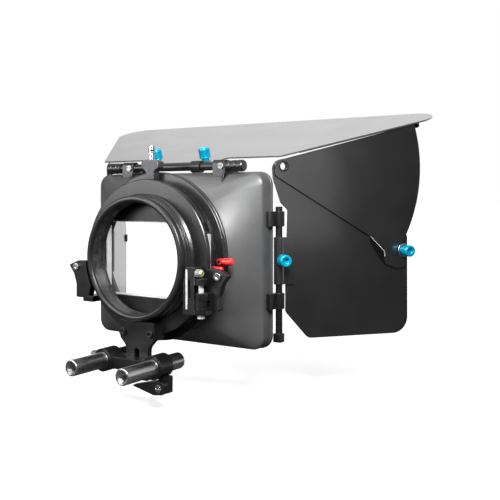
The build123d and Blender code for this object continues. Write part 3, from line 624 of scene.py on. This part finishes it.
def build_wing_details(side, sign):
    """Painted shadow strip along a side wing's lower edge, dark plate of painted shadow over its
    lip, and painted highlight along its outer tip.
    """
    angle = math.radians(WING_ANGLES[side])
    outwards = Vector((sign * math.sin(angle), math.cos(angle), 0))
    normal = Vector((sign * math.cos(angle), -math.sin(angle), 0))
    matrix = axes_matrix(outwards, Vector((0, 0, 1)), normal,
                         Vector((sign * WING_ROOT_X, WING_ROOT_Y, 0)) * MM)
    prefix = "wing_%s_" % side
    body = "flag_wing_" + side
    # Dark band along the wing's lower edge: painted shadow of the edge on the side flag.
    build_plate(prefix + "edge_painted_shadow", band(WING_EDGE, near=-1.2, far=0.75), matrix,
                bottom=0.05, top=0.95, body=body, chamfer=0.1)
    # Dark plate over the wing's lip: painted shadow under the wing's lifted corner.
    build_plate(prefix + "lip_painted_shadow", WING_LIP, matrix,
                bottom=1.31, top=1.6, body=body, chamfer=0.05)
    # Bright strip along the fold near the wing's tip: a painted highlight.
    build_plate(prefix + "pale_metal_and_painted_highlight", band(WING_HIGHLIGHT_LINE, near=-0.55, far=0.02), matrix,
                bottom=2.66, top=2.86, body=body, chamfer=0.06,
                slot="flag_black", finish="pale_metal_and_painted_highlight")


# Top flag outlines: x, distance up the flag's slope from its root.
TOP_FLAG_TILT = math.radians(17.2)
TOP_FLAG_ROOT = (0, 80.5, 94.6)
TOP_FLAG_STOP = [
    (187.8, 131.6), (194.4, 131.9), (195.4, 133.0), (195.4, 137.2),
    (194.6, 138.2), (188.8, 138.0), (187.8, 137.0),
]
# The dark strip under each side edge of the top flag paints the shade along that edge.
SHADE_STRIP_STATIONS = (16.0, 50.0, 90.0, 124.0)
SHADE_STRIP_ROOT_X, SHADE_STRIP_SPREAD, SHADE_STRIP_RUN = 111.0, 120.0, 166.5    # x grows by spread over the run


def build_top_flag_details(side, sign):
    """Small stop block, and a slanting dark strip of painted shade along the side edge, under one
    side of the top flag.
    """
    cos, sin = math.cos(TOP_FLAG_TILT), math.sin(TOP_FLAG_TILT)
    matrix = axes_matrix(Vector((1, 0, 0)), Vector((0, cos, sin)), Vector((0, -sin, cos)),
                         Vector(TOP_FLAG_ROOT) * MM)
    stop = [(sign * x, y) for x, y in TOP_FLAG_STOP]
    build_plate("top_flag_stop_" + side, stop, matrix,
                bottom=-8.2, top=-1.45, body="top_flag", chamfer=0.5)
    shade_strip = [(sign * (SHADE_STRIP_ROOT_X + SHADE_STRIP_SPREAD * y / SHADE_STRIP_RUN), y) for y in SHADE_STRIP_STATIONS]
    # Dark strip under the side edge: painted shade along the flag's edge.
    build_plate("top_flag_trim_" + side, band(shade_strip, near=sign * -0.15, far=sign * -1.5), matrix,
                bottom=-2.0, top=-1.4, body="top_flag", chamfer=0.12)


# ------------------------------------------------------------------ remaining CAD nodes
DEFAULT_ROUNDING = 0.2
ROUNDING = {
    "rod_clamp_block": 0.6, "post_plate": 0.5, "rear_plate": 0.35, "collar_ring": 0.3,
    "top_latch_bracket": 0.7, "right_ear_hinge_leaf": 0.6, "left_ear": 0.6,
    "clamp_lever": 0.7, "hinge_block": 0.5, "top_hinge_bracket_right": 0.6,
    "top_hinge_bracket_left": 0.6, "top_flag": 0.35, "height_clamp_plate": 0.3,
    "side_flag_right": 0.35, "side_flag_left": 0.35, "flag_wing_right": 0.35,
    "flag_wing_left": 0.35, "hinge_centre_block_right": 0.4, "hinge_centre_block_left": 0.4,
    "filter_stage_ring": 0.25, "filter_tray": 0.25,
}
# nodes whose material differs from their slot's
NODE_FINISH = {"hinge_block": "hinge_black", "bracket_screws": "screw_dull",
               "hinge_pin": "pale_metal_and_painted_highlight", "swing_lock_screw": "screw_dull"}


def build_remaining_nodes():
    done = {node for obj in bpy.data.objects for node in list(obj.get("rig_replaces", []))}
    for node in sorted(frame["nodes"]):
        if node not in done:
            soften(node, ROUNDING.get(node, DEFAULT_ROUNDING), NODE_FINISH.get(node))


# ------------------------------------------------------------------ stage, in metres
FLOOR_HALF, FLOOR_CELLS, FLOOR_Z = 14.0, 12, -0.1340


def floor_material():
    """Near white to the camera; to other rays dark, and glowing further out along +Y."""
    result = bpy.data.materials.new("floor_pale")
    result.use_nodes = True
    tree = result.node_tree
    camera_ray = add_node(tree, "LightPath").outputs["Is Camera Ray"]
    colour = add_node(tree, "Mix", data_type="RGBA")
    feed(tree, colour, {"Factor": camera_ray, COLOUR_A: (0.06, 0.06, 0.06, 1),
                        COLOUR_B: (0.98, 0.98, 0.98, 1)})
    grain = add_node(tree, "TexNoise", {"Scale": 300}).outputs["Fac"]
    position = add_node(tree, "NewGeometry").outputs["Position"]
    split = add_node(tree, "SeparateXYZ", {0: position})
    ahead = map_range(tree, split.outputs["Y"], (0.25, 0.9), (0.0, 0.85), smooth=True)
    glow = add_node(tree, "Mix", data_type="FLOAT")
    feed(tree, glow, {"Factor": camera_ray, FLOAT_A: ahead, FLOAT_B: 0.5})
    feed(tree, tree.nodes["Principled BSDF"], {
        "Roughness": 0.95, "Specular IOR Level": 0.0,
        "Base Color": colour.outputs[COLOUR_RESULT],
        "Normal": bump(tree, grain, strength=0.1, distance=0.0002),
        "Emission Color": (1, 1, 1, 1), "Emission Strength": glow.outputs[0],
    })
    return result


def build_floor():
    mesh = bpy.data.meshes.new("studio_floor")
    ticks = [-FLOOR_HALF + 2 * FLOOR_HALF * i / FLOOR_CELLS for i in range(FLOOR_CELLS + 1)]
    row = len(ticks)
    corners = [i * row + j for i in range(FLOOR_CELLS) for j in range(FLOOR_CELLS)]
    mesh.from_pydata([(x, y, FLOOR_Z) for x in ticks for y in ticks], [],
                     [(a, a + row, a + row + 1, a + 1) for a in corners])
    obj = bpy.data.objects.new("studio_floor", mesh)
    scene.collection.objects.link(obj)
    mesh.materials.append(floor_material())


def build_world():
    """White to the camera; to other rays, bright zones overhead, towards +Y and towards -Y."""
    world = bpy.data.worlds.new("studio")
    scene.world = world
    world.use_nodes = True
    tree = world.node_tree
    camera_ray = add_node(tree, "LightPath").outputs["Is Camera Ray"]
    direction = add_node(tree, "TexCoord").outputs["Generated"]
    split = add_node(tree, "SeparateXYZ", {0: direction})
    y, z = split.outputs["Y"], split.outputs["Z"]
    overhead = map_range(tree, z, (0.40, 0.95), (0.02, 0.95), smooth=True)
    plus_y = map_range(tree, y, (0.25, 0.75), (0.0, 1.15), smooth=True)
    # the -Y zone is a product of two ramps, so each rises to the root of its strength
    ramp = (0.0, math.sqrt(0.24))
    backwards = math_node(tree, "MULTIPLY", y, -1.0)
    minus_y = map_range(tree, backwards, (0.25, 0.75), ramp, smooth=True)
    raised = map_range(tree, z, (-0.06, 0.35), ramp, smooth=True)
    light = math_node(tree, "MULTIPLY", minus_y, raised)
    light = math_node(tree, "MAXIMUM", overhead, light)
    light = math_node(tree, "MAXIMUM", light, plus_y)
    strength = add_node(tree, "Mix", data_type="FLOAT")
    feed(tree, strength, {"Factor": camera_ray, FLOAT_A: light, FLOAT_B: 1.0})
    feed(tree, tree.nodes["Background"],
         {"Strength": strength.outputs[0], "Color": (1, 1, 1, 1)})


def place(name, data, location, direction):
    """Link a light or camera that looks along direction."""
    obj = bpy.data.objects.new(name, data)
    scene.collection.objects.link(obj)
    obj.location = location
    obj.rotation_mode = "QUATERNION"
    obj.rotation_quaternion = direction.to_track_quat("-Z", "Y")
    return obj


def area_light(name, location, target, size, power):
    light = bpy.data.lights.new(name, "AREA")
    light.shape = "RECTANGLE"
    light.size, light.size_y = size
    light.energy = power
    obj = place(name, light, location, Vector(target) - Vector(location))
    obj.visible_camera = False


def build_lights():
    area_light("key_soft", location=(-0.12, -0.40, 0.62), target=(0.0, 0.03, 0.03),
               size=(0.42, 0.30), power=2.5)
    area_light("back_left", location=(-0.62, -0.95, 0.28), target=(0.0, 0.0, 0.06),
               size=(0.90, 0.40), power=10.5)
    area_light("hood_key", location=(0.27, -0.17, 0.22), target=(0.080, 0.05, 0.03),
               size=(0.14, 0.14), power=3.2)
    area_light("flag_side", location=(1.62, -0.50, 0.15), target=(0.12, 0.10, 0.12),
               size=(0.62, 0.50), power=0.78)


def build_camera():
    """Level camera on the +X, -Y side, turned from +Y towards -X."""
    camera = bpy.data.cameras.new("camera")
    camera.sensor_width = 36.0
    camera.lens = 53.28
    camera.shift_y = -0.11042
    camera.clip_start, camera.clip_end = 0.02, 60
    turn = math.radians(32.75)
    scene.camera = place("camera", camera, (0.45691, -0.51026, 0.05835),
                         Vector((-math.sin(turn), math.cos(turn), 0)))


# ------------------------------------------------------------------ build
build_lens_ring()
for side, sign in SIDES:
    for kind in KNOBS:
        build_knob(kind, side)
for end in ("front", "rear"):
    soften("brake_lever_" + end, width=0.25)
build_hood()
for side, sign in SIDES:
    build_rod(side, sign)
build_hinge_block_edge()
for side, sign in SIDES:
    build_wing_details(side, sign)
for side, sign in SIDES:
    build_top_flag_details(side, sign)
build_remaining_nodes()
build_floor()
build_world()
build_lights()
build_camera()
